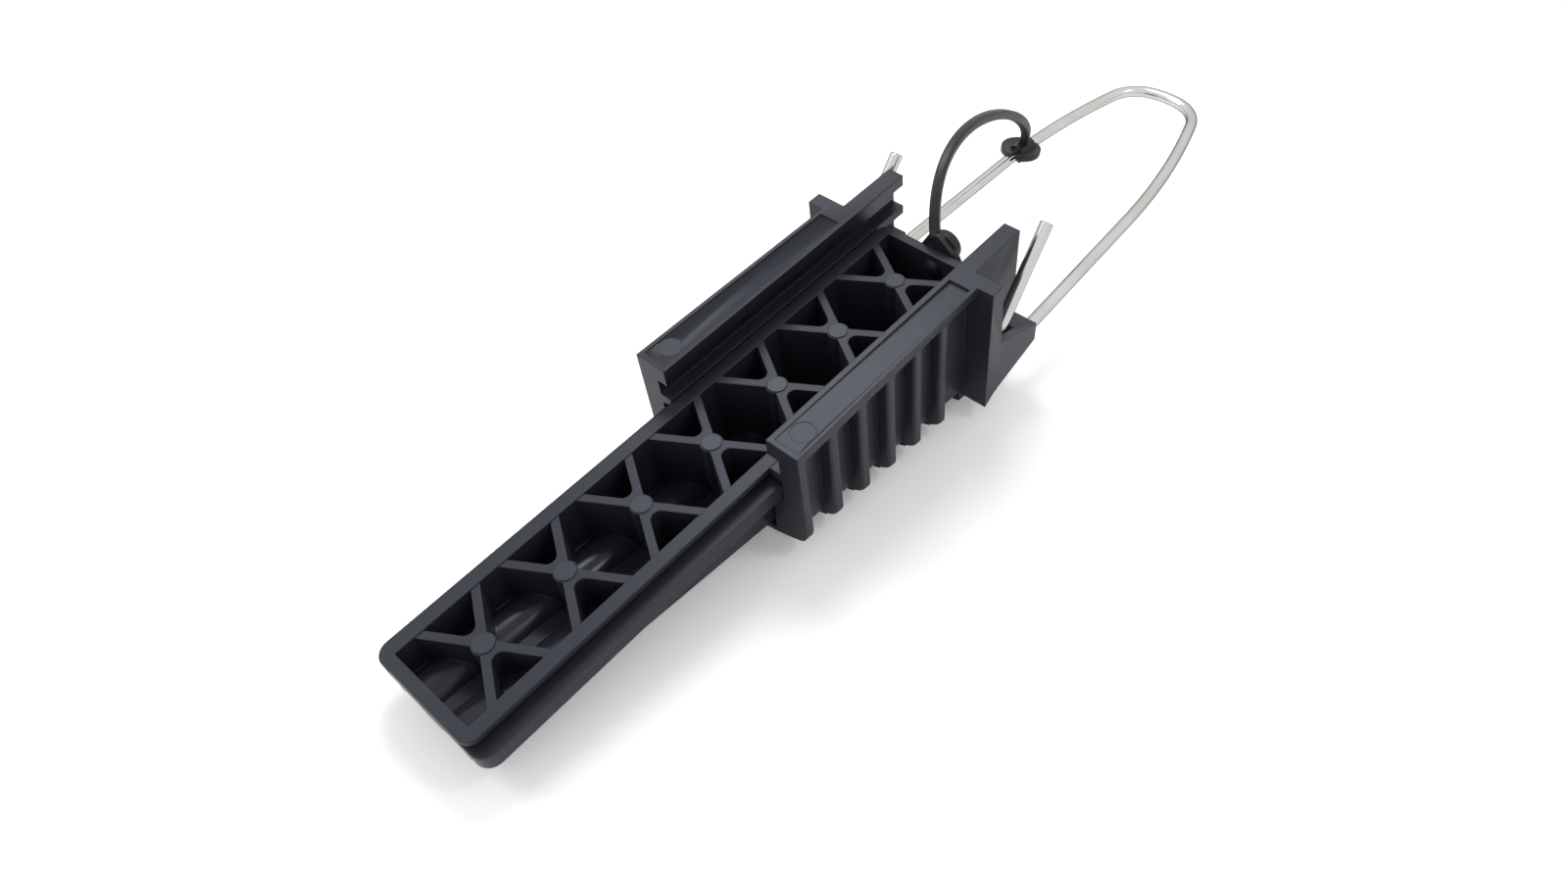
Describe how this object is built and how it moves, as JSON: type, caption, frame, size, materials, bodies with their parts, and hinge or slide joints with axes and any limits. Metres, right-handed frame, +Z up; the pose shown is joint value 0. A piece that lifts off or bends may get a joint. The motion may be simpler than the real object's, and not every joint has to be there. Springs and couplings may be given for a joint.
{
  "type": "tension_clamp",
  "caption": "Wedge-type tension clamp: a finned housing with sloping rails holds a latticed wedge that grips flat or round drop cable, with a bent wire bail to hang it and a tether.",
  "frame": {"origin": "on the housing's flat foot, at the middle fin and the centre line", "axes": "+X runs to the bail, +Y to the left seen from the wedge's front end, +Z up from the foot"},
  "size_m": [0.3444, 0.0688, 0.0662],
  "materials": {
    "nylon": "moulded, semi-matt, dark grey to black",
    "steel_wire": "drawn stainless wire, bright",
    "soft_plastic": "moulded, matt, dark"
  },
  "bodies": {
    "housing": {"housing": "nylon"},
    "wedge": {"wedge": "nylon", "tether": "soft_plastic"},
    "bail": {"bail": "steel_wire"}
  },
  "joints": [
    {"name": "wedge_slide", "type": "slide", "parent": "housing", "child": "wedge", "axis": [0.9925, 0, 0.1219], "range_m": [-0.02, 0.025], "deforming": ["tether"]},
    {"name": "bail_swing", "type": "hinge", "parent": "housing", "child": "bail", "pos_m": [0.04509, 0, 0.01681], "axis": [0, -1, 0], "range_deg": [-6, 2], "deforming": ["tether"]}
  ]
}
